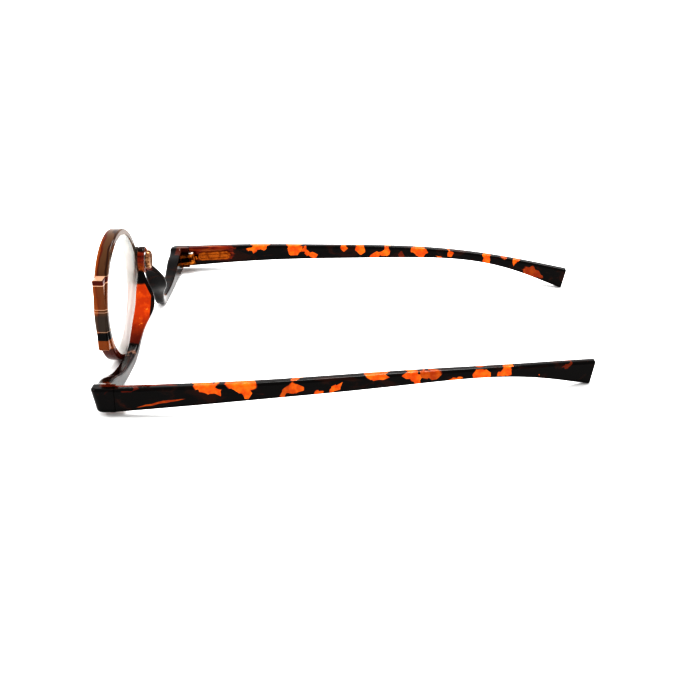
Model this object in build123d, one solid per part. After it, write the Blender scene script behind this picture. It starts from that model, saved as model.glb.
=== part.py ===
from build123d import *
import math
import os

# Reading glasses with one lens. The lens swivels over the nose on a pivot at the top of the
# bridge, so that it can stand before either eye. Two temples fold on sprung hinges.
# Millimetres. +X is the wearer's left, +Y runs back along the temples, +Z is up.
# The pieces are drawn with Y = 0 at the seams between the end-pieces and the temples and with
# Z = 0 on the table, and are moved along Y at export, so the origin is the middle of the base.

# Driving dimensions
WIDTH = 138.0  # over the two end-pieces
TEMPLE_LENGTH = 140.0  # seam to tip
FRONT_LEAN = 7.0  # degrees that the top of the front leans forward
SEAM_GAP = 0.12  # between an end-piece and its temple
FIT_GAP = 0.05  # radial clearance of a pin in a turning hole
HALF_WIDTH = WIDTH / 2

# Front frame
END_LEAN = 12.0  # degrees that the front of an end-piece leans
END_HEIGHT = 7.6
SLIM_HEIGHT = 3.4  # sections of the front as low as this don't lean
END_BOTTOM = 1.35
END_FRONT_Y = -6.6
BAR_REAR_Y = -2.4
END_INNER_X = 64.95
CORNER_RADIUS = 2.3
TOP_EDGE_RADIUS = 0.85
BOTTOM_EDGE_RADIUS = 1.3
END_DEPTH_BEHIND = 2.0  # drawn this far past the seam, then cut back to it

# Lens pivot at the top of the bridge
PIVOT_Z = 25.75
PIVOT_BLOCK_RADIUS = 4.35
PIVOT_BLOCK_FRONT_Y = -4.5
PIVOT_BLOCK_REAR_Y = -2.55
BLOCK_EDGE_RADIUS = 0.5
PIVOT_SHAFT_RADIUS = 0.8
PIVOT_HEAD_RADIUS = 3.1
PIVOT_HEAD_HEIGHT = 1.3
PIVOT_HEAD_ROUNDING = 0.8
PIVOT_HEAD_FLUTES = 14
PIVOT_HEAD_FLUTE_RADIUS = 0.35
PIVOT_SLOT_WIDTH = 0.7
PIVOT_SLOT_DEPTH = 0.6
SPRING_WASHER_RADIUS = 2.7
SPRING_WASHER_THICKNESS = 0.2
SPRING_WASHER_RISE = 0.25
FRICTION_WASHER_RADIUS = 3.6
FRICTION_WASHER_THICKNESS = 0.4
INSERT_RADIUS = 1.45
INSERT_LENGTH = 3.0

# Lens and rim
RIM_X = 21.2
RIM_Z = 21.05
RIM_HALF_WIDTH = 21.4
RIM_HALF_HEIGHT = 20.85
RIM_WALL = 1.8
RIM_REAR_Y = -4.95  # at the pivot
RIM_CANT = 2.0  # degrees that the rim leans forward away from the pivot, to clear the arms
RIM_DEPTH = 4.2
RIM_EDGE_RADIUS = 0.5
LUG_DEPTH = 3.6
TAB_PROUD = 0.3
TAB_SETBACK = 0.4  # from the rim's front and rear
TAB_BOTTOM_Z = 10.0
TAB_TOP_Z = 33.1
TAB_CORNER_RADIUS = 1.4
TAB_TOP_RADIUS = 1.0
LENS_EDGE_THICKNESS = 1.3
LENS_BEVEL_DEPTH = 0.5
LENS_BEVEL_THICKNESS = 0.7
LENS_FRONT_RADIUS = 130.0
LENS_REAR_RADIUS = 400.0
LENS_SETBACK = 2.5  # from the rim's front to the lens's front edge
SLIP = 0.02  # between pieces that are pushed together

# Temple hinge, on a leaning axis inboard of the temple
HINGE_X = 63.6
HINGE_Y = 1.2
HINGE_Z = 5.3
BARREL_RADIUS = 1.5
EYE_HALF_HEIGHT = 0.75
LUG_INNER = 0.85
LUG_OUTER = 1.95
LEAF_HALF_HEIGHT = 2.6
LEAF_THICKNESS = 1.0
LEAF_REACH = 2.8  # of the base plate, inboard of the hinge's axis
LEAF_OUTER = 1.2
HINGE_SCREW_RADIUS = 0.6
HINGE_HEAD_RADIUS = 1.05
HINGE_HEAD_HEIGHT = 0.45
HINGE_SLOT_WIDTH = 0.3
HINGE_SLOT_DEPTH = 0.22
NECK_LENGTH = 2.1
NECK_HALF_HEIGHT = 0.6
NECK_OVERLAP = 0.6
NECK_ROOM = 0.15

# Spring box in the temple, along the slide
SLIDE_RISE = 3.0  # degrees that the slide rises towards the back
BOX_X = 65.95
BOX_START = 3.4
BOX_LENGTH = 12.6
BOX_HEIGHT = 3.2
BOX_WIDTH = 2.5
BOX_BORE_RADIUS = 1.0
BOX_FRONT_WALL = 1.2
BOX_REAR_WALL = 0.7
BOX_GROOVE_INSET = 0.75
BOX_GROOVE_WIDTH = 0.35
BOX_GROOVE_DEPTH = 0.2
ROD_RADIUS = 0.45
RETAINER_RADIUS = 0.88
RETAINER_LENGTH = 0.8
SPRING_WIRE_RADIUS = 0.14
SPRING_MEAN_RADIUS = 0.74
SPRING_LENGTH = 7.4
SPRING_TURNS = 9
ANCHOR_RADIUS = 0.45
ANCHOR_LENGTH = 8.0

# Temple stations: distance back from the seam, how far the middle of the section stands
# inboard of the outer side of the end-piece, height of its middle, its height, its thickness
TEMPLE_STATIONS = [
    (0.0, 1.9, 5.3, 7.3, 3.8),
    (18.0, 2.1, 6.3, 6.4, 3.7),
    (42.0, 3.8, 7.3, 5.3, 3.5),
    (68.0, 6.9, 8.2, 4.6, 3.4),
    (92.0, 10.7, 8.8, 3.6, 3.3),
    (112.0, 15.6, 8.1, 3.3, 3.2),
    (128.0, 21.2, 5.9, 5.2, 3.1),
    (142.0, 26.6, 3.2, 7.8, 3.0),
]
TEMPLE_EDGE_RADIUS = 0.9
TIP_SLANT = 14.0  # degrees, the top of the tip stands further back
TIP_EDGE_RADIUS = 0.6
TIP_MIDDLE_Z = 3.75
TIP_TOP_Z = 6.7  # the rearmost point of the slanted end

# Stations of one half of the front, from the end-piece to the middle of the bridge:
# x, z of the middle, slope in degrees, height there, front y, rear y,
# thickness of the rear edge, its shift away from the nose, corner radius
FRONT_STATIONS = [
    (65.0, 5.15, 0.0, 7.6, -6.6, -2.4, 7.6, 0.0, 0.85),
    (58.0, 4.2, -10.0, 6.4, -6.5, -2.4, 6.4, 0.0, 0.85),
    (50.0, 2.95, -8.0, 4.9, -6.3, -2.4, 4.9, 0.0, 0.85),
    (41.0, 1.85, -4.0, 3.9, -6.0, -2.4, 3.9, 0.0, 0.85),
    (30.5, 1.65, 4.0, 3.6, -5.75, -2.4, 3.5, 0.0, 0.85),
    (24.0, 3.2, 31.0, 3.4, -5.35, -2.1, 2.8, 0.0, 0.75),
    (16.2, 9.5, 38.0, 3.2, -4.9, -0.4, 1.6, 0.0, 0.6),
    (12.0, 12.9, 47.0, 3.0, -4.7, 1.3, 1.2, -0.1, 0.5),
    (9.2, 16.4, 52.0, 3.0, -4.65, 1.1, 1.2, -0.1, 0.5),
    (6.4, 20.1, 52.0, 3.0, -4.6, -1.0, 1.8, 0.0, 0.6),
    (3.0, 23.3, 28.0, 3.4, -4.35, -2.9, 3.0, 0.0, 0.55),
    (0.0, 24.2, 0.0, 4.0, -4.35, -3.0, 4.0, 0.0, 0.55),
]

# Worked out from the above
Y_FRONT = RIM_REAR_Y - RIM_DEPTH
LENS_FRONT_EDGE_Y = Y_FRONT + LENS_SETBACK
LENS_BEVEL_Y = LENS_FRONT_EDGE_Y + (LENS_EDGE_THICKNESS - LENS_BEVEL_THICKNESS) / 2
LEAN_SHIFT = math.tan(math.radians(FRONT_LEAN))
END_LEAN_SHIFT = math.tan(math.radians(END_LEAN))
PIVOT_HEAD_Y = PIVOT_BLOCK_REAR_Y + SPRING_WASHER_THICKNESS + SPRING_WASHER_RISE
RETAINER_START = BOX_FRONT_WALL + SPRING_LENGTH
Y_BACK = TEMPLE_LENGTH + (TIP_TOP_Z - TIP_MIDDLE_Z) * math.tan(math.radians(TIP_SLANT))
RIM_REACH = (RIM_X + RIM_HALF_WIDTH + TAB_PROUD) * math.sin(math.radians(RIM_CANT))
Y_CENTRE = (Y_BACK + Y_FRONT - RIM_REACH) / 2
UPRIGHT = (Align.CENTER, Align.CENTER, Align.MIN)


def front_section(x, z, slope, height, y_front, y_rear, rear_height, rear_shift, radius):
    """One rounded four-cornered section of the front, square to its path."""
    angle = math.radians(slope)
    plane = Plane(
        origin=(x, 0, z),
        x_dir=(0, 1, 0),
        z_dir=(math.cos(angle), 0, -math.sin(angle)),
    )
    low, high = -height / 2, height / 2
    rear_low, rear_high = rear_shift - rear_height / 2, rear_shift + rear_height / 2
    share = max(0.0, (height - SLIM_HEIGHT) / (END_HEIGHT - SLIM_HEIGHT)) * math.cos(angle)
    front_lean, rear_lean = share * END_LEAN_SHIFT, share * LEAN_SHIFT
    corners = [
        (y_front - low * front_lean, low),
        (y_rear - rear_low * rear_lean, rear_low),
        (y_rear - rear_high * rear_lean, rear_high),
        (y_front - high * front_lean, high),
    ]
    outline = Polygon(*corners, align=None)
    return plane * fillet(outline.vertices(), radius)


def front_half():
    """The bar, nose arch and moulded nose pad of the wearer's left side."""
    return loft([front_section(*station) for station in FRONT_STATIONS])


def end_piece():
    """The corner block that carries the hinge, with a leaning, rounded front."""
    shift, top = END_LEAN_SHIFT * END_HEIGHT / 2, END_BOTTOM + END_HEIGHT
    outline = Polygon(
        (END_FRONT_Y + shift, END_BOTTOM),
        (END_DEPTH_BEHIND, END_BOTTOM),
        (END_DEPTH_BEHIND, top),
        (END_FRONT_Y - shift, top),
        align=None,
    )
    side = Plane(origin=(END_INNER_X, 0, 0), x_dir=(0, 1, 0), z_dir=(1, 0, 0))
    block = extrude(side * outline, HALF_WIDTH - END_INNER_X)
    upright = block.faces().sort_by(Axis.X)[-1].edges().sort_by(Axis.Y)[0]
    block = fillet(upright, CORNER_RADIUS)
    for level, radius in ((-1, TOP_EDGE_RADIUS), (0, BOTTOM_EDGE_RADIUS)):
        rim = block.faces().sort_by(Axis.Z)[level].edges()
        outer = [e for e in rim if e.center().X > END_INNER_X + 0.1 and e.center().Y < 0]
        block = fillet(outer, radius)
    behind = Pos(HALF_WIDTH, -SEAM_GAP, 0) * Box(
        HALF_WIDTH, HALF_WIDTH, HALF_WIDTH, align=(Align.CENTER, Align.MIN, Align.CENTER)
    )
    return block - behind


def pivot_bar(radius, y_front, y_rear):
    """A round bar on the lens pivot's axis, between two places along Y."""
    plane = Plane(origin=(0, y_front, PIVOT_Z), x_dir=(1, 0, 0), z_dir=(0, 1, 0))
    return extrude(plane * Circle(radius), y_rear - y_front)


def pivot_block():
    """The round block at the top of the bridge that the lens turns on."""
    block = pivot_bar(PIVOT_BLOCK_RADIUS, PIVOT_BLOCK_FRONT_Y, PIVOT_BLOCK_REAR_Y)
    return fillet(block.faces().sort_by(Axis.Y)[-1].edges(), BLOCK_EDGE_RADIUS)


def front_frame(leaves):
    """Both halves of the front with the end-pieces and the pivot block, in one moulding."""
    half = front_half() + end_piece()
    below = Box(2 * WIDTH, WIDTH, WIDTH, align=(Align.CENTER, Align.CENTER, Align.MAX))
    bore = pivot_bar(PIVOT_SHAFT_RADIUS + FIT_GAP, PIVOT_BLOCK_FRONT_Y - 1, PIVOT_BLOCK_REAR_Y + 1)
    whole = half + mirror(half, about=Plane.YZ) + pivot_block()
    return whole - below - bore - leaves


def pivot_screw():
    """The pivot's screw: a coin-edged domed head behind the block, its end in the insert."""
    head_rear = PIVOT_HEAD_Y + PIVOT_HEAD_HEIGHT
    head = pivot_bar(PIVOT_HEAD_RADIUS, PIVOT_HEAD_Y, head_rear)
    head = fillet(head.faces().sort_by(Axis.Y)[-1].edges(), PIVOT_HEAD_ROUNDING)
    for index in range(PIVOT_HEAD_FLUTES):
        turn = 2 * math.pi * index / PIVOT_HEAD_FLUTES
        x = PIVOT_HEAD_RADIUS * math.cos(turn)
        z = PIVOT_HEAD_RADIUS * math.sin(turn)
        flute = pivot_bar(PIVOT_HEAD_FLUTE_RADIUS, PIVOT_HEAD_Y - 1, head_rear + 1)
        head -= Pos(x, 0, z) * flute
    slot = Pos(0, head_rear, PIVOT_Z) * Box(PIVOT_SLOT_WIDTH, 2 * PIVOT_SLOT_DEPTH, WIDTH)
    shaft = pivot_bar(PIVOT_SHAFT_RADIUS, RIM_REAR_Y - INSERT_LENGTH + SEAM_GAP, PIVOT_HEAD_Y)
    return head - slot + shaft


def spring_washer():
    """A shallow cone under the screw's head that keeps the pivot stiff."""
    inner, outer = PIVOT_SHAFT_RADIUS + 2 * FIT_GAP, SPRING_WASHER_RADIUS
    y = PIVOT_BLOCK_REAR_Y
    profile = Polygon(
        (outer, y),
        (outer, y + SPRING_WASHER_THICKNESS),
        (inner, y + SPRING_WASHER_THICKNESS + SPRING_WASHER_RISE),
        (inner, y + SPRING_WASHER_RISE),
        align=None,
    )
    axis = Axis((0, 0, PIVOT_Z), (0, 1, 0))
    return revolve(Pos(0, 0, PIVOT_Z) * profile, axis)


def friction_washer():
    """The flat washer between the rim's lug and the block."""
    y_front = PIVOT_BLOCK_FRONT_Y - FRICTION_WASHER_THICKNESS
    disc = pivot_bar(FRICTION_WASHER_RADIUS, y_front, PIVOT_BLOCK_FRONT_Y)
    return disc - pivot_bar(PIVOT_SHAFT_RADIUS + 2 * FIT_GAP, y_front - 1, 0)


def pivot_insert():
    """The brass insert in the rim's lug that takes the screw."""
    tube = pivot_bar(INSERT_RADIUS, RIM_REAR_Y - INSERT_LENGTH, RIM_REAR_Y)
    return tube - pivot_bar(PIVOT_SHAFT_RADIUS, RIM_REAR_Y - INSERT_LENGTH - 1, 0)


def canted(piece):
    """A piece drawn square to the pivot, swung forward by the rim's cant."""
    return piece.rotate(Axis((0, RIM_REAR_Y, 0), (0, 0, 1)), -RIM_CANT)


def oval(grow, y_front, depth):
    """A canted plate with the outline of the lens opening, grown by a distance all round."""
    outline = Ellipse(RIM_HALF_WIDTH - RIM_WALL + grow, RIM_HALF_HEIGHT - RIM_WALL + grow)
    plane = Plane(origin=(RIM_X, y_front, RIM_Z), x_dir=(1, 0, 0), z_dir=(0, 1, 0))
    return canted(extrude(plane * outline, depth))


def finger_tab():
    """The flat tab on the outer side of the rim that a finger pushes."""
    x_outer = RIM_X + RIM_HALF_WIDTH + TAB_PROUD
    x_inner = RIM_X + RIM_HALF_WIDTH / 2
    height = TAB_TOP_Z - TAB_BOTTOM_Z
    middle = ((x_inner + x_outer) / 2, Y_FRONT + RIM_DEPTH / 2, TAB_BOTTOM_Z + height / 2)
    tab = Pos(*middle) * Box(x_outer - x_inner, RIM_DEPTH - 2 * TAB_SETBACK, height)
    corners = tab.edges().filter_by(Axis.Y).group_by(Axis.X)[-1].sort_by(Axis.Z)
    tab = fillet(corners[0], TAB_CORNER_RADIUS)
    top_corner = tab.edges().filter_by(Axis.Y).sort_by(Axis.Z)[-1]
    tab = fillet(top_corner, TAB_TOP_RADIUS)
    faces = tab.faces().sort_by(Axis.Y)
    return canted(fillet(faces[0].edges() + faces[-1].edges(), RIM_EDGE_RADIUS))


def lens_rim():
    """The rim with its pivot lug, finger tab, lens groove and insert hole."""
    body = oval(RIM_WALL, Y_FRONT, RIM_DEPTH)
    body = fillet(body.edges().filter_by(GeomType.ELLIPSE), RIM_EDGE_RADIUS)
    lug = pivot_bar(PIVOT_BLOCK_RADIUS, RIM_REAR_Y - LUG_DEPTH, RIM_REAR_Y)
    lug = fillet(lug.edges().filter_by(GeomType.CIRCLE), RIM_EDGE_RADIUS)
    body = body + lug + finger_tab() - oval(0, Y_FRONT - 1, RIM_DEPTH + 2)
    groove = oval(LENS_BEVEL_DEPTH, LENS_BEVEL_Y - SLIP, LENS_BEVEL_THICKNESS + 2 * SLIP)
    insert_hole = pivot_bar(INSERT_RADIUS, RIM_REAR_Y - INSERT_LENGTH, RIM_REAR_Y + 1)
    return body - groove - insert_hole


def lens():
    """A meniscus reading lens with a bevel round its edge."""
    reach = RIM_HALF_WIDTH - RIM_WALL
    front_sag = LENS_FRONT_RADIUS - math.sqrt(LENS_FRONT_RADIUS**2 - reach**2)
    rear_sag = LENS_REAR_RADIUS - math.sqrt(LENS_REAR_RADIUS**2 - reach**2)
    rear_edge_y = LENS_FRONT_EDGE_Y + LENS_EDGE_THICKNESS
    front_centre = LENS_FRONT_EDGE_Y - front_sag + LENS_FRONT_RADIUS
    rear_centre = rear_edge_y - rear_sag + LENS_REAR_RADIUS
    depth = LENS_EDGE_THICKNESS + 2 * front_sag
    blank = oval(-SLIP, rear_edge_y - depth, depth)
    blank &= canted(Pos(RIM_X, front_centre, RIM_Z) * Sphere(LENS_FRONT_RADIUS))
    blank -= canted(Pos(RIM_X, rear_centre, RIM_Z) * Sphere(LENS_REAR_RADIUS))
    bevel = oval(LENS_BEVEL_DEPTH - SLIP, LENS_BEVEL_Y, LENS_BEVEL_THICKNESS)
    bevel -= oval(-1, LENS_BEVEL_Y - 1, LENS_BEVEL_THICKNESS + 2)
    return blank + bevel


def hinge_plane():
    """The left hinge: local Z is the hinge's leaning axis, local Y runs back."""
    lean = math.radians(FRONT_LEAN)
    return Plane(
        origin=(HINGE_X, HINGE_Y, HINGE_Z),
        x_dir=(1, 0, 0),
        z_dir=(0, -math.sin(lean), math.cos(lean)),
    )


def slide_plane():
    """The left spring box's front end: local Z runs back along the slide."""
    rise = math.radians(SLIDE_RISE)
    return Plane(
        origin=(BOX_X, BOX_START, HINGE_Z + (BOX_START - HINGE_Y) * LEAN_SHIFT),
        x_dir=(1, 0, 0),
        z_dir=(0, math.cos(rise), math.sin(rise)),
    )


def barrel(radius, low, high):
    """A round bar on the hinge's axis, in the hinge's own frame."""
    return Pos(0, 0, low) * Cylinder(radius, high - low, align=UPRIGHT)


def slab(x_range, y_range, z_range):
    """A box between three pairs of limits."""
    sizes = [high - low for low, high in (x_range, y_range, z_range)]
    middle = [(low + high) / 2 for low, high in (x_range, y_range, z_range)]
    return Pos(*middle) * Box(*sizes)


def hinge_front_leaf():
    """The leaf in the end of the bar: a base plate and two eyes."""
    base_y = BAR_REAR_Y - HINGE_Y
    base_depth = (base_y - LEAF_THICKNESS, base_y)
    leaf = slab((-LEAF_REACH, LEAF_OUTER), base_depth, (-LEAF_HALF_HEIGHT, LEAF_HALF_HEIGHT))
    for low, high in ((LUG_INNER, LUG_OUTER), (-LUG_OUTER, -LUG_INNER)):
        leaf += slab((-BARREL_RADIUS, LEAF_OUTER), (base_y - LEAF_THICKNESS, 0), (low, high))
        leaf += barrel(BARREL_RADIUS, low, high)
    leaf -= barrel(HINGE_SCREW_RADIUS, -LUG_OUTER - 1, LUG_OUTER + 1)
    return hinge_plane() * leaf


def hinge_screw():
    """The hinge's screw, with a slotted head on the upper eye."""
    shaft = barrel(HINGE_SCREW_RADIUS, -LUG_OUTER, LUG_OUTER)
    head = barrel(HINGE_HEAD_RADIUS, LUG_OUTER, LUG_OUTER + HINGE_HEAD_HEIGHT)
    head = chamfer(head.faces().sort_by(Axis.Z)[-1].edges(), HINGE_HEAD_HEIGHT / 3)
    top = LUG_OUTER + HINGE_HEAD_HEIGHT
    slot = Pos(0, 0, top) * Box(HINGE_SLOT_WIDTH, 4 * HINGE_HEAD_RADIUS, 2 * HINGE_SLOT_DEPTH)
    return hinge_plane() * (shaft + head - slot)


def rod(radius, start, end):
    """A round bar on the slide's axis, between two places along it."""
    return slide_plane() * (Pos(0, 0, start) * Cylinder(radius, end - start, align=UPRIGHT))


def hinge_tenon():
    """The sliding tenon: an eye between the leaf's eyes, a neck and a rod."""
    neck_x = BOX_X - HINGE_X + ROD_RADIUS + FIT_GAP
    eye = barrel(BARREL_RADIUS - FIT_GAP, -EYE_HALF_HEIGHT, EYE_HALF_HEIGHT)
    neck = slab((0, neck_x), (0, NECK_LENGTH), (-NECK_HALF_HEIGHT, NECK_HALF_HEIGHT))
    bore = barrel(HINGE_SCREW_RADIUS + FIT_GAP, -LUG_OUTER, LUG_OUTER)
    shank = rod(ROD_RADIUS, -NECK_OVERLAP, RETAINER_START + RETAINER_LENGTH)
    return hinge_plane() * (eye + neck - bore) + shank


def spring_retainer():
    """The collar on the rod's end that the spring pushes on."""
    collar = rod(RETAINER_RADIUS, RETAINER_START, RETAINER_START + RETAINER_LENGTH)
    return collar - rod(ROD_RADIUS, RETAINER_START - 1, BOX_LENGTH)


def hinge_spring():
    """The compression spring round the rod."""
    pitch = (SPRING_LENGTH - 3 * SPRING_WIRE_RADIUS) / SPRING_TURNS
    coil = Helix(pitch, pitch * SPRING_TURNS, SPRING_MEAN_RADIUS)
    wire = Plane(origin=coil @ 0, z_dir=coil % 0) * Circle(SPRING_WIRE_RADIUS)
    spring = sweep(wire, path=coil, is_frenet=True)
    return slide_plane() * (Pos(0, 0, BOX_FRONT_WALL + 1.5 * SPRING_WIRE_RADIUS) * spring)


def box_outline(inset, side_x, width):
    """A bar with the spring box's round-ended side view, less an inset, from side_x on."""
    slide = slide_plane()
    middle = slide.origin + slide.z_dir * (BOX_LENGTH / 2)
    side = Plane(origin=(side_x, middle.Y, middle.Z), x_dir=slide.z_dir, z_dir=(1, 0, 0))
    return extrude(side * SlotOverall(BOX_LENGTH - 2 * inset, BOX_HEIGHT - 2 * inset), width)


def spring_box_blank():
    """The spring box before it is bored, which is also its pocket in the temple."""
    return box_outline(0, BOX_X - BOX_WIDTH / 2, BOX_WIDTH)


def spring_box():
    """The metal box let into the temple, bored for the spring, with a groove on its face."""
    face_x = BOX_X - BOX_WIDTH / 2
    groove = box_outline(BOX_GROOVE_INSET, face_x, BOX_GROOVE_DEPTH)
    groove -= box_outline(BOX_GROOVE_INSET + BOX_GROOVE_WIDTH, face_x, BOX_GROOVE_DEPTH)
    box = spring_box_blank() - groove
    box -= rod(BOX_BORE_RADIUS, BOX_FRONT_WALL, BOX_LENGTH - BOX_REAR_WALL)
    return box - rod(ROD_RADIUS + FIT_GAP, -1, BOX_FRONT_WALL + 1)


def anchor_wire():
    """The wire behind the spring box that holds it in the temple."""
    return rod(ANCHOR_RADIUS, BOX_LENGTH, BOX_LENGTH + ANCHOR_LENGTH)


def temple_blank():
    """The temple from seam to tip, with its tip cut at a slant."""
    sections = []
    for back, inboard, z, height, thickness in TEMPLE_STATIONS:
        plane = Plane(origin=(HALF_WIDTH - inboard, back, z), x_dir=(1, 0, 0), z_dir=(0, 1, 0))
        sections.append(plane * RectangleRounded(thickness, height, TEMPLE_EDGE_RADIUS))
    blank = loft(sections)
    slant = Rot(-TIP_SLANT, 0, 0) * Box(
        WIDTH, WIDTH, WIDTH, align=(Align.CENTER, Align.MIN, Align.CENTER)
    )
    tip = blank - Pos(HALF_WIDTH, TEMPLE_LENGTH, TIP_MIDDLE_Z) * slant
    end_face = tip.faces().sort_by(Axis.Y)[-1]
    return fillet(end_face.edges(), TIP_EDGE_RADIUS)


def temple():
    """The temple with the pockets for its hinge parts."""
    below = Box(2 * WIDTH, 4 * WIDTH, WIDTH, align=(Align.CENTER, Align.CENTER, Align.MAX))
    neck_height = NECK_HALF_HEIGHT + NECK_ROOM
    slot = slab(
        (0, BOX_X - HINGE_X + ROD_RADIUS + 2 * NECK_ROOM),
        (-2 * HINGE_Y, BOX_START),
        (-neck_height, neck_height),
    )
    pocket = spring_box_blank() + anchor_wire()
    return temple_blank() - below - hinge_plane() * slot - pocket


def build():
    """Every piece by its node's name, in the drawing's own place."""
    left = {
        "hinge_front_leaf": hinge_front_leaf(),
        "hinge_screw": hinge_screw(),
        "hinge_tenon": hinge_tenon(),
        "hinge_spring": hinge_spring(),
        "spring_retainer": spring_retainer(),
        "spring_box": spring_box(),
        "anchor_wire": anchor_wire(),
        "temple": temple(),
    }
    leaf = left["hinge_front_leaf"]
    pieces = {
        "front_frame": front_frame([leaf, mirror(leaf, about=Plane.YZ)]),
        "pivot_screw": pivot_screw(),
        "pivot_spring_washer": spring_washer(),
        "pivot_friction_washer": friction_washer(),
        "pivot_insert": pivot_insert(),
        "lens_rim": lens_rim(),
        "lens": lens(),
    }
    for name, piece in left.items():
        pieces[f"left_{name}"] = piece
        pieces[f"right_{name}"] = mirror(piece, about=Plane.YZ)
    return pieces


def main():
    os.makedirs("parts", exist_ok=True)
    for name, piece in build().items():
        export_step(Pos(0, -Y_CENTRE, 0) * piece, f"parts/{name}.step")


main()
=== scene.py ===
import math

import bpy
from mathutils import Matrix, Vector


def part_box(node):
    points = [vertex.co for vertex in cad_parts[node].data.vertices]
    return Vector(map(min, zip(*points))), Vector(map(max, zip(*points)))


# Reading glasses with one swivelling lens. Every solid of the CAD model is shown, each with a
# procedural material. Metres, +X the wearer's left, +Y to the rear, +Z up.

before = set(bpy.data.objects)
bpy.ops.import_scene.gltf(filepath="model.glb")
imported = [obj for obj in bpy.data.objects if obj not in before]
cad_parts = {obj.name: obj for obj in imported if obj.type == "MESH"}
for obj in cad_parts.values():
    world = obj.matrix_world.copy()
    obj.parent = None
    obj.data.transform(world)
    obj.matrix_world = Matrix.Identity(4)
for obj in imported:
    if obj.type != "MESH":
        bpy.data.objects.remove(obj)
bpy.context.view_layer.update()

MM = 0.001
SEAM_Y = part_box("left_temple")[0].y
BAR_REAR_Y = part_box("left_hinge_front_leaf")[0].y
HALF_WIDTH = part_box("left_temple")[1].x

# Camera
CAMERA_PLACE = (0.4139, 0.02337, 0.16083)
CAMERA_FORWARD = (-0.9255, -0.0536, -0.3749)
CAMERA_UP = (-0.3756, 0.0027, 0.9268)
SENSOR_WIDTH = 36.0
FOCAL_LENGTH = 68.06
CLIP_START = 0.01

# Colours, linear
BLACK_BROWN = (0.0035, 0.0026, 0.0024, 1)
SMOKE_BROWN = (0.022, 0.006, 0.003, 1)
DARK_RED = (0.075, 0.009, 0.003, 1)
RED_BROWN = (0.17, 0.022, 0.005, 1)
DEEP_ORANGE = (0.34, 0.045, 0.004, 1)
ORANGE = (0.44, 0.075, 0.005, 1)
BRIGHT_ORANGE = (0.6, 0.15, 0.01, 1)
AMBER = (0.34, 0.085, 0.008, 1)
RIM_AMBER = (0.2, 0.06, 0.012, 1)
HONEY = (0.55, 0.19, 0.03, 1)
# colour of the painted highlight lines across the rim's tab
PAINTED_HIGHLIGHT_CREAM = (0.75, 0.5, 0.36, 1)
TAN = (0.085, 0.042, 0.02, 1)
# colour of the painted glint spots in the front's valleys
PAINTED_GLINT_ROSE = (0.3, 0.17, 0.12, 1)
GREY_BROWN = (0.04, 0.034, 0.028, 1)
FLOOR_WHITE = (0.94, 0.94, 0.935, 1)
STUDIO_WHITE = (1.0, 1.0, 1.0, 1)
LENS_TINT = (0.97, 0.985, 0.96, 1)
LENS_TINT_DEEP = (0.93, 0.965, 0.93, 1)
NYLON_BROWN = (0.05, 0.02, 0.012, 1)
NYLON_PALE = (0.11, 0.045, 0.022, 1)

# Metals: colour, colour where worn or tarnished, roughness
BRASS = ((0.34, 0.13, 0.025, 1), (0.045, 0.012, 0.004, 1), 0.18)
AMBER_BRASS = ((0.24, 0.08, 0.014, 1), (0.11, 0.03, 0.006, 1), 0.2)
STEEL = ((0.62, 0.6, 0.57, 1), (0.45, 0.43, 0.4, 1), 0.25)
SPRING_STEEL = ((0.45, 0.45, 0.46, 1), (0.3, 0.29, 0.28, 1), 0.3)
PIVOT_TAN = ((0.32, 0.19, 0.11, 1), (0.2, 0.09, 0.045, 1), 0.3)
MACHINED_ALL_WAYS = (1.0, 1.0, 1.0)
MACHINED_ALONG = (1.0, 0.05, 1.0)

# Chips of amber in the temples: distance back from the seam, height over the table,
# half length, half height, tilt in degrees (rear end up), brightness
LEFT_CHIPS = [
    (5.0, 8.2, 2.0, 0.6, 12, 0.2),
    (27.0, 9.2, 4.4, 1.4, -16, 0.95),
    (36.5, 9.4, 4.2, 1.9, -8, 0.95),
    (37.8, 7.4, 1.7, 2.2, 0, 0.95),
    (50.0, 7.2, 2.2, 1.0, 30, 0.6),
    (52.3, 8.4, 1.6, 2.3, 10, 0.7),
    (59.4, 6.5, 1.5, 0.9, -10, 0.85),
    (64.2, 7.6, 2.4, 0.8, 48, 0.8),
    (76.0, 10.3, 4.0, 1.2, -8, 0.95),
    (86.0, 9.4, 1.9, 2.6, 40, 1.0),
    (91.0, 9.7, 2.6, 1.7, 0, 0.55),
    (98.6, 7.5, 2.2, 0.8, 10, 0.85),
    (106.3, 8.4, 2.5, 1.4, -8, 1.0),
    (113.7, 8.5, 2.6, 1.5, 25, 1.0),
    (123.0, 6.3, 0.9, 0.6, 40, 0.6),
    (131.6, 7.2, 1.8, 0.8, 15, 0.3),
]
LEFT_STREAK = (13.2, 4.8, 7.0, 0.35, 10, 0.5)
RIGHT_CHIPS = [
    (26.5, 8.9, 4.2, 1.4, 14, 0.9),
    (41.0, 9.0, 2.8, 2.2, 0, 1.0),
    (46.3, 7.2, 2.8, 1.4, -28, 0.85),
    (59.5, 10.0, 1.1, 1.5, -20, 0.75),
    (65.7, 9.2, 2.0, 1.9, 0, 0.85),
    (72.5, 7.9, 3.4, 1.0, 26, 1.0),
    (75.3, 9.4, 1.6, 2.1, 0, 1.0),
    (81.2, 7.9, 0.8, 1.4, 0, 0.3),
    (87.8, 9.2, 2.5, 2.4, -25, 1.0),
    (95.0, 7.9, 1.6, 0.8, -15, 0.85),
    (98.9, 9.6, 1.1, 1.5, 0, 0.9),
    (112.7, 8.3, 1.7, 1.9, 30, 0.95),
    (118.6, 9.2, 1.0, 0.8, 0, 0.5),
    (122.8, 8.2, 1.1, 1.7, -20, 0.7),
    (129.0, 4.9, 3.6, 1.9, -18, 0.45),
]
CLEAR_LENGTH = 17.0  # of the clear amber inside each temple, back from the seam
SKIN = (1.7, 2.1)  # depth of the dark outer side of a temple, where it starts to turn clear and ends

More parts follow.
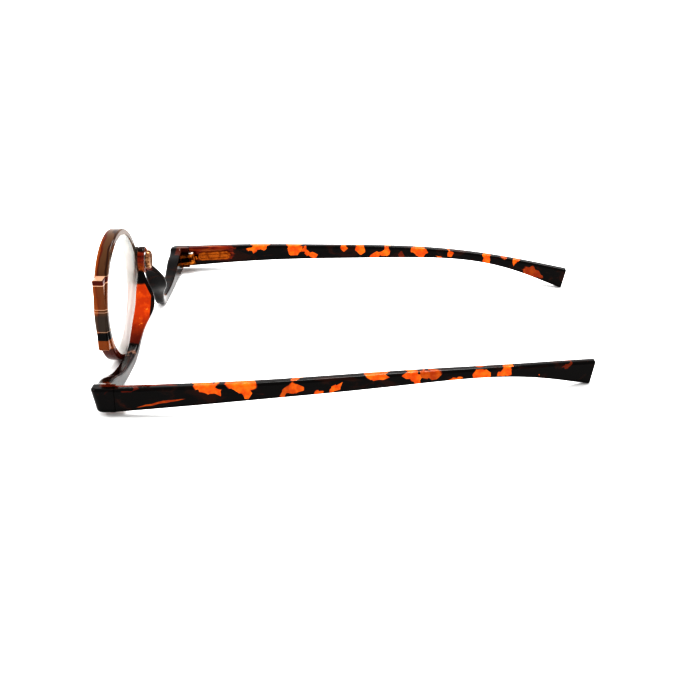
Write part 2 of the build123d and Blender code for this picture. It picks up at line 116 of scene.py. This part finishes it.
# Colours through the rim, from its front (0) to its rear (1)
RIM_LAYERS = [
    (0.0, RIM_AMBER),
    (0.16, RIM_AMBER),
    (0.26, DARK_RED),
    (0.4, TAN),
    (0.62, TAN),
    (0.72, SMOKE_BROWN),
    (0.86, TAN),
    (1.0, GREY_BROWN),
]
# Bands across the tab: lower and upper height, softness, strength, colour. Thin cream lines are
# painted highlights; grey-brown and black bands are painted dark reflections.
TAB_BANDS_AND_PAINTED_LIGHT = [
    (31.7, 32.7, 0.3, 1.0, DARK_RED),
    # painted highlight on the tab's top face
    (33.05, 33.12, 0.06, 0.45, PAINTED_HIGHLIGHT_CREAM),
    (24.0, 31.0, 1.0, 0.45, RIM_AMBER),
    # painted dark reflections on the tab's outer face
    (17.4, 21.2, 1.6, 0.85, GREY_BROWN),
    (13.8, 15.9, 0.4, 1.0, BLACK_BROWN),
    (9.5, 13.5, 0.3, 0.9, RIM_AMBER),
    # thin painted highlight lines
    (31.3, 31.45, 0.12, 0.6, PAINTED_HIGHLIGHT_CREAM),
    (23.6, 23.7, 0.1, 0.5, PAINTED_HIGHLIGHT_CREAM),
    (22.75, 22.85, 0.1, 0.4, PAINTED_HIGHLIGHT_CREAM),
    (16.4, 16.5, 0.1, 0.35, PAINTED_HIGHLIGHT_CREAM),
]
TAB_START_X = (35.5, 37.0)  # the bands fade in over this stretch, outwards

# Places on the front, in millimetres
ARM_X = (6.0, 23.0)
ARM_Z = (4.0, 19.6)
BLOCK_HALF_WIDTH = (4.6, 5.4)
BLOCK_Z = (20.6, 29.2)
HINGE_INNER_X = 60.5
VALLEY_X = (26.5, 29.0)

PLASTIC_IOR = 1.49
PLASTIC_ROUGHNESS = 0.06
PLASTIC_SPECULAR = 0.14
LENS_ALPHA = 0.12
# opacity of the white film at grazing angles, a painted reflection
LENS_PAINTED_REFLECTION_ALPHA = 0.6

FLOOR_HALF_SIZE = 3.0


# Node helpers ---------------------------------------------------------------------------

def new_material(name):
    """An empty node material and its tree, with only a Principled shader."""
    material = bpy.data.materials.new(name)
    material.use_nodes = True
    return material, material.node_tree


def shader(tree):
    return tree.nodes["Principled BSDF"]


def feed(tree, socket, value):
    """Sets a socket to a constant, or links another socket to it."""
    if isinstance(value, bpy.types.NodeSocket):
        tree.links.new(value, socket)
    else:
        socket.default_value = value


def math_node(tree, operation, *values):
    node = tree.nodes.new("ShaderNodeMath")
    node.operation = operation
    for socket, value in zip(node.inputs, values):
        feed(tree, socket, value)
    return node.outputs["Value"]


def vector_node(tree, operation, *values):
    node = tree.nodes.new("ShaderNodeVectorMath")
    node.operation = operation
    for socket, value in zip(node.inputs, values):
        feed(tree, socket, value)
    return node.outputs["Vector"]


def scaled(tree, vector, factor):
    node = tree.nodes.new("ShaderNodeVectorMath")
    node.operation = "SCALE"
    feed(tree, node.inputs["Vector"], vector)
    feed(tree, node.inputs["Scale"], factor)
    return node.outputs["Vector"]


def millimetres(tree):
    """The place on the piece at rest, in millimetres."""
    coordinates = tree.nodes.new("ShaderNodeTexCoord").outputs["Object"]
    return scaled(tree, coordinates, 1 / MM)


def parts_of(tree, vector):
    node = tree.nodes.new("ShaderNodeSeparateXYZ")
    feed(tree, node.inputs[0], vector)
    return node.outputs["X"], node.outputs["Y"], node.outputs["Z"]


def noise(tree, point, scale, detail=2.0, roughness=0.5, output="Fac", distortion=0.0):
    node = tree.nodes.new("ShaderNodeTexNoise")
    feed(tree, node.inputs["Vector"], point)
    node.inputs["Scale"].default_value = scale
    node.inputs["Detail"].default_value = detail
    node.inputs["Roughness"].default_value = roughness
    node.inputs["Distortion"].default_value = distortion
    return node.outputs[output]


def ramp(tree, value, low, high, to_low=0.0, to_high=1.0, smooth=True):
    """Maps low..high to to_low..to_high and holds it beyond."""
    node = tree.nodes.new("ShaderNodeMapRange")
    node.interpolation_type = "SMOOTHSTEP" if smooth else "LINEAR"
    feed(tree, node.inputs["Value"], value)
    node.inputs["From Min"].default_value = low
    node.inputs["From Max"].default_value = high
    node.inputs["To Min"].default_value = to_low
    node.inputs["To Max"].default_value = to_high
    return node.outputs["Result"]


def mix(tree, factor, first, second):
    node = tree.nodes.new("ShaderNodeMix")
    node.data_type = "RGBA"
    feed(tree, node.inputs["Factor"], factor)
    first_socket, second_socket = [s for s in node.inputs if s.type == "RGBA"]
    feed(tree, first_socket, first)
    feed(tree, second_socket, second)
    return [s for s in node.outputs if s.type == "RGBA"][0]


def colour_steps(tree, value, steps):
    """A run of colours along a value, from (place, colour) pairs."""
    node = tree.nodes.new("ShaderNodeValToRGB")
    elements = node.color_ramp.elements
    while len(elements) < len(steps):
        elements.new(0.5)
    for element, (place, colour) in zip(elements, steps):
        element.position = place
        element.color = colour
    feed(tree, node.inputs["Fac"], value)
    return node.outputs["Color"]


def band(tree, value, low, high, soft):
    """1 between low and high, falling to 0 over soft on both sides."""
    rise = ramp(tree, value, low - soft, low)
    fall = ramp(tree, value, high, high + soft, 1.0, 0.0)
    return math_node(tree, "MULTIPLY", rise, fall)


def bump(tree, height, distance, strength):
    node = tree.nodes.new("ShaderNodeBump")
    node.inputs["Strength"].default_value = strength
    node.inputs["Distance"].default_value = distance
    feed(tree, node.inputs["Height"], height)
    return node.outputs["Normal"]


# Polished plastic -----------------------------------------------------------------------

def polish(tree, point, colour):
    """Finishes the plastic: fine waviness from tumbling, faint smears in the gloss."""
    principled = shader(tree)
    feed(tree, principled.inputs["Base Color"], colour)
    smears = noise(tree, point, 0.25, detail=4)
    uneven = ramp(tree, smears, 0.3, 0.75, PLASTIC_ROUGHNESS, PLASTIC_ROUGHNESS * 2.4)
    feed(tree, principled.inputs["Roughness"], uneven)
    principled.inputs["IOR"].default_value = PLASTIC_IOR
    principled.inputs["Specular IOR Level"].default_value = PLASTIC_SPECULAR
    waves = noise(tree, point, 0.35, detail=1)
    feed(tree, principled.inputs["Normal"], bump(tree, waves, 0.02 * MM, 0.25))


def wobbled(tree, point, size):
    """A place pushed about by smooth noise."""
    swirl = noise(tree, point, 0.22, detail=1.5, output="Color")
    swirl = vector_node(tree, "SUBTRACT", swirl, (0.5, 0.5, 0.5))
    return vector_node(tree, "ADD", point, scaled(tree, swirl, size))


def shard_point(tree, point, cell, pull, wobble):
    """Draws a place towards the middle of its random cell, so that edges come out angular."""
    cells = tree.nodes.new("ShaderNodeTexVoronoi")
    cells.inputs["Scale"].default_value = 1 / cell
    feed(tree, cells.inputs["Vector"], point)
    offset = vector_node(tree, "SUBTRACT", cells.outputs["Position"], point)
    drawn = vector_node(tree, "ADD", point, scaled(tree, offset, pull))
    return wobbled(tree, drawn, wobble)


def chip_mask(tree, point, chips):
    """How much amber chip there is at a place: the brightest of the chips over it."""
    _, y, z = parts_of(tree, point)
    total = None
    for back, height, half_length, half_height, tilt, brightness in chips:
        turn = math.radians(tilt)
        y_near = math_node(tree, "SUBTRACT", y, SEAM_Y / MM + back)
        z_near = math_node(tree, "SUBTRACT", z, height)
        along = math_node(tree, "MULTIPLY", y_near, math.cos(turn))
        along = math_node(tree, "MULTIPLY_ADD", z_near, math.sin(turn), along)
        across = math_node(tree, "MULTIPLY", z_near, math.cos(turn))
        across = math_node(tree, "MULTIPLY_ADD", y_near, -math.sin(turn), across)
        along = math_node(tree, "DIVIDE", along, half_length)
        across = math_node(tree, "DIVIDE", across, half_height)
        square = math_node(tree, "MULTIPLY", along, along)
        square = math_node(tree, "MULTIPLY_ADD", across, across, square)
        chip = ramp(tree, square, 1.15, 0.95, 0.0, brightness, smooth=False)
        total = chip if total is None else math_node(tree, "MAXIMUM", total, chip)
    return total


def smoky_dark(tree, point):
    """The near black of the tortoiseshell, with dim brown clouds in it."""
    stretched = vector_node(tree, "MULTIPLY", point, (1.0, 0.45, 1.0))
    clouds = noise(tree, stretched, 0.22, detail=3, roughness=0.55, distortion=0.8)
    dark = mix(tree, ramp(tree, clouds, 0.52, 0.66), BLACK_BROWN, SMOKE_BROWN)
    embers = noise(tree, stretched, 0.3, detail=2, distortion=1.5)
    return mix(tree, ramp(tree, embers, 0.66, 0.76, 0.0, 0.4), dark, DARK_RED)


def chip_colour(tree, point, brightness):
    """The amber of a chip, redder and darker where it is dim."""
    grain = noise(tree, point, 0.5, detail=3)
    bright = mix(tree, ramp(tree, grain, 0.35, 0.7), ORANGE, BRIGHT_ORANGE)
    return mix(tree, ramp(tree, brightness, 0.15, 0.9), DARK_RED, bright)


def clear_amber(tree, point):
    """The see-through amber round the hinge parts: dark red in its depth, amber in its flow."""
    flow = vector_node(tree, "MULTIPLY", point, (0.5, 0.16, 1.0))
    flow = noise(tree, flow, 0.8, detail=2, distortion=0.6)
    steps = [(0.4, DARK_RED), (0.52, RED_BROWN), (0.66, RIM_AMBER), (0.78, AMBER)]
    return colour_steps(tree, flow, steps)


def temple_plastic(side, chips, streak=None):
    """Tortoiseshell of one temple: dark with amber chips, clear amber inside at the hinge."""
    material, tree = new_material(f"tortoise_{side}_temple")
    point = millimetres(tree)
    x, y, z = parts_of(tree, point)
    warped = shard_point(tree, point, cell=2.1, pull=0.5, wobble=2.6)
    mask = chip_mask(tree, warped, chips)
    if streak:
        thin = chip_mask(tree, wobbled(tree, point, 1.4), [streak])
        mask = math_node(tree, "MAXIMUM", mask, thin)
    dark = smoky_dark(tree, point)
    cut = ramp(tree, mask, 0.02, 0.1)
    colour = mix(tree, cut, dark, chip_colour(tree, point, mask))

    drift = noise(tree, point, 0.3, detail=3)
    inward = math_node(tree, "ABSOLUTE", x)
    skin = ramp(tree, inward, HALF_WIDTH / MM - SKIN[1], HALF_WIDTH / MM - SKIN[0], 1.0, 0.0)
    back = math_node(tree, "SUBTRACT", y, SEAM_Y / MM)
    ragged = math_node(tree, "MULTIPLY_ADD", drift, 12.0, back)
    reach = ramp(tree, ragged, CLEAR_LENGTH + 5.5, CLEAR_LENGTH + 7.0, 1.0, 0.0)
    base_height = math_node(tree, "MULTIPLY_ADD", drift, 2.0, z)
    above = ramp(tree, base_height, 4.6, 5.6)
    inside = math_node(tree, "MULTIPLY", skin, math_node(tree, "MULTIPLY", reach, above))
    polish(tree, point, mix(tree, inside, colour, clear_amber(tree, point)))
    return material


def front_plastic():
    """Tortoiseshell of the front: dark, orange in the left nose arm, amber at the hinges, with
    painted rose glint spots in the valleys of the bar.
    """
    material, tree = new_material("tortoise_front")
    point = millimetres(tree)
    x, y, z = parts_of(tree, point)
    away = math_node(tree, "ABSOLUTE", x)
    warped = wobbled(tree, point, 1.8)
    wobbly_x, _, wobbly_z = parts_of(tree, warped)
    colour = smoky_dark(tree, point)

    arm = band(tree, wobbly_x, *ARM_X, 0.8)
    arm = math_node(tree, "MULTIPLY", arm, band(tree, wobbly_z, *ARM_Z, 0.8))
    flare_up = ramp(tree, z, 2.5, 11.0, -2.9, 0.55, smooth=False)
    flare_down = ramp(tree, z, 16.5, 20.5, 0.5, -2.0, smooth=False)
    rear_edge = math_node(tree, "MINIMUM", flare_up, flare_down)
    from_rear = math_node(tree, "SUBTRACT", math_node(tree, "SUBTRACT", y, SEAM_Y / MM), rear_edge)
    arm = math_node(tree, "MULTIPLY", arm, ramp(tree, from_rear, -0.35, 0.0, 1.0, 0.0))
    grain = noise(tree, point, 0.35, detail=3, distortion=0.4)
    lower = ramp(tree, wobbly_z, 5.0, 14.0, 1.0, 0.0)
    glow = mix(tree, ramp(tree, grain, 0.4, 0.62), DEEP_ORANGE, ORANGE)
    glow = mix(tree, lower, glow, DARK_RED)
    bubbles = noise(tree, point, 1.1, detail=1)
    glow = mix(tree, ramp(tree, bubbles, 0.7, 0.76, 0.0, 0.8), glow, HONEY)
    colour = mix(tree, arm, colour, glow)

    block = ramp(tree, away, *BLOCK_HALF_WIDTH, 1.0, 0.0)
    block = math_node(tree, "MULTIPLY", block, band(tree, wobbly_z, *BLOCK_Z, 0.4))
    colour = mix(tree, block, colour, clear_amber(tree, point))

    hinge = ramp(tree, y, BAR_REAR_Y / MM - 1.4, BAR_REAR_Y / MM - 0.8)
    beside = band(tree, away, HINGE_INNER_X, HALF_WIDTH / MM - 2.2, 0.4)
    hinge = math_node(tree, "MULTIPLY", hinge, beside)
    hinge = math_node(tree, "MULTIPLY", hinge, 0.35)
    colour = mix(tree, hinge, colour, clear_amber(tree, point))

    # Painted rose glint spots in the valleys of the bar.
    valley = band(tree, math_node(tree, "ABSOLUTE", wobbly_x), *VALLEY_X, 1.0)
    glints = math_node(tree, "MULTIPLY", valley, ramp(tree, grain, 0.48, 0.6, 0.0, 0.5))
    polish(tree, point, mix(tree, glints, colour, PAINTED_GLINT_ROSE))
    return material


def rim_plastic():
    """Brown plastic of the rim, in layers from front to rear, with bands across its tab, among them
    painted highlight lines and painted dark reflections.
    """
    material, tree = new_material("tortoise_rim")
    point = millimetres(tree)
    x, y, z = parts_of(tree, point)
    front_y, rear_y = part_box("lens_rim")[0].y / MM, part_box("lens_rim")[1].y / MM
    flow = noise(tree, vector_node(tree, "MULTIPLY", point, (0.12, 0.3, 0.1)), 1.0, detail=2)
    depth = math_node(tree, "SUBTRACT", y, front_y)
    depth = math_node(tree, "DIVIDE", depth, rear_y - front_y)
    depth = math_node(tree, "ADD", depth, ramp(tree, flow, 0.3, 0.7, -0.14, 0.14, smooth=False))
    tone = colour_steps(tree, depth, RIM_LAYERS)
    outer = ramp(tree, x, *TAB_START_X)
    # Lays the tab bands over the layers: colour bands, painted highlight lines and painted dark
    # reflections.
    for low, high, soft, strength, colour in TAB_BANDS_AND_PAINTED_LIGHT:
        across = math_node(tree, "MULTIPLY", outer, band(tree, z, low, high, soft))
        tone = mix(tree, math_node(tree, "MULTIPLY", across, strength), tone, colour)
    patches = ramp(tree, flow, 0.3, 0.6, 0.6, 1.0)
    low_rim = math_node(tree, "MULTIPLY", ramp(tree, z, 9.9, 9.3), patches)
    polish(tree, point, mix(tree, low_rim, tone, DARK_RED))
    return material


# Clear plastic, metals and nylon --------------------------------------------------------

def clear_lens():
    """Clear polished acrylic, with the faintest haze in its surface, shown as a thin white film that
    thickens towards grazing angles as a painted reflection of the white surroundings.
    """
    material, tree = new_material("lens_clear")
    point = millimetres(tree)
    principled = shader(tree)
    haze = noise(tree, point, 0.15, detail=3)
    tint = mix(tree, ramp(tree, haze, 0.4, 0.7), LENS_TINT, LENS_TINT_DEEP)
    feed(tree, principled.inputs["Base Color"], tint)
    feed(tree, principled.inputs["Roughness"], ramp(tree, haze, 0.4, 0.8, 0.01, 0.04))
    principled.inputs["IOR"].default_value = PLASTIC_IOR
    # Painted reflection: the white film grows more opaque towards grazing angles.
    glance = tree.nodes.new("ShaderNodeLayerWeight").outputs["Facing"]
    painted_reflection_veil = ramp(tree, glance, 0.55, 0.85, LENS_ALPHA, LENS_PAINTED_REFLECTION_ALPHA)
    feed(tree, principled.inputs["Alpha"], painted_reflection_veil)
    return material


def metal(name, colour, worn_colour, roughness, turning=MACHINED_ALL_WAYS):
    """Metal with fine machining lines along one way and a little tarnish."""
    material, tree = new_material(name)
    point = millimetres(tree)
    principled = shader(tree)
    lines = noise(tree, vector_node(tree, "MULTIPLY", point, turning), 6.0, detail=3)
    tarnish = noise(tree, point, 0.7, detail=4)
    blend = ramp(tree, tarnish, 0.4, 0.68)
    feed(tree, principled.inputs["Base Color"], mix(tree, blend, colour, worn_colour))
    uneven = ramp(tree, lines, 0.3, 0.7, roughness * 0.8, roughness * 1.4)
    feed(tree, principled.inputs["Roughness"], uneven)
    principled.inputs["Metallic"].default_value = 1.0
    feed(tree, principled.inputs["Normal"], bump(tree, lines, 0.01 * MM, 0.35))
    return material


def nylon():
    """Dark brown moulded nylon, slightly dull and mottled."""
    material, tree = new_material("nylon")
    point = millimetres(tree)
    principled = shader(tree)
    mottle = noise(tree, point, 1.2, detail=4)
    colour = mix(tree, ramp(tree, mottle, 0.35, 0.7), NYLON_BROWN, NYLON_PALE)
    feed(tree, principled.inputs["Base Color"], colour)
    feed(tree, principled.inputs["Roughness"], ramp(tree, mottle, 0.3, 0.7, 0.38, 0.55))
    feed(tree, principled.inputs["Normal"], bump(tree, mottle, 0.01 * MM, 0.4))
    return material


# The pieces -----------------------------------------------------------------------------

def dress(node_name, material):
    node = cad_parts[node_name]
    node.data.materials.clear()
    node.data.materials.append(material)


def dress_all():
    brass = metal("brass", *BRASS)
    box_brass = metal("amber_brass", *AMBER_BRASS, MACHINED_ALONG)
    steel = metal("steel", *STEEL)
    spring_steel = metal("spring_steel", *SPRING_STEEL)
    head_tan = metal("pivot_tan", *PIVOT_TAN)
    dark_nylon = nylon()
    dress("front_frame", front_plastic())
    dress("lens_rim", rim_plastic())
    dress("lens", clear_lens())
    dress("pivot_screw", head_tan)
    dress("pivot_insert", brass)
    dress("pivot_spring_washer", spring_steel)
    dress("pivot_friction_washer", dark_nylon)
    dress("left_temple", temple_plastic("left", LEFT_CHIPS, LEFT_STREAK))
    dress("right_temple", temple_plastic("right", RIGHT_CHIPS))
    for side in ("left", "right"):
        dress(f"{side}_hinge_front_leaf", brass)
        dress(f"{side}_hinge_tenon", brass)
        dress(f"{side}_spring_box", box_brass)
        dress(f"{side}_hinge_screw", steel)
        dress(f"{side}_hinge_spring", spring_steel)
        dress(f"{side}_spring_retainer", steel)
        dress(f"{side}_anchor_wire", box_brass)


# Camera, floor and light ----------------------------------------------------------------

def add_camera():
    data = bpy.data.cameras.new("camera")
    data.sensor_width = SENSOR_WIDTH
    data.lens = FOCAL_LENGTH
    data.clip_start = CLIP_START
    camera = bpy.data.objects.new("camera", data)
    bpy.context.scene.collection.objects.link(camera)
    back = -Vector(CAMERA_FORWARD).normalized()
    right = Vector(CAMERA_UP).cross(back).normalized()
    up = back.cross(right)
    turned = Matrix((right, up, back)).transposed().to_4x4()
    camera.matrix_world = Matrix.Translation(CAMERA_PLACE) @ turned
    bpy.context.scene.camera = camera


def add_floor():
    size = FLOOR_HALF_SIZE
    mesh = bpy.data.meshes.new("floor")
    corners = [(-size, -size, 0), (size, -size, 0), (size, size, 0), (-size, size, 0)]
    mesh.from_pydata(corners, [], [(0, 1, 2, 3)])
    floor = bpy.data.objects.new("floor", mesh)
    bpy.context.scene.collection.objects.link(floor)
    material, tree = new_material("floor_white")
    shader(tree).inputs["Base Color"].default_value = FLOOR_WHITE
    shader(tree).inputs["Roughness"].default_value = 0.9
    shader(tree).inputs["Specular IOR Level"].default_value = 0.1
    mesh.materials.append(material)


def add_area_light(name, place, aim, size, power):
    data = bpy.data.lights.new(name, "AREA")
    data.shape = "DISK"
    data.size = size
    data.energy = power
    light = bpy.data.objects.new(name, data)
    light.location = place
    direction = Vector(aim) - Vector(place)
    light.rotation_euler = direction.to_track_quat("-Z", "Y").to_euler()
    bpy.context.scene.collection.objects.link(light)


def add_light():
    world = bpy.data.worlds.new("studio")
    world.use_nodes = True
    background = world.node_tree.nodes["Background"]
    background.inputs["Color"].default_value = STUDIO_WHITE
    background.inputs["Strength"].default_value = 1.0
    bpy.context.scene.world = world
    add_area_light("overhead", (-0.3, 0.1, 0.75), (0, 0, 0), size=0.45, power=5.0)
    add_area_light("front_glint", (0.12, -0.5, 0.35), (0, -0.05, 0), size=0.12, power=0.6)
    bpy.context.scene.view_settings.view_transform = "Standard"
    bpy.context.scene.view_settings.look = "Very High Contrast"


dress_all()
add_camera()
add_floor()
add_light()
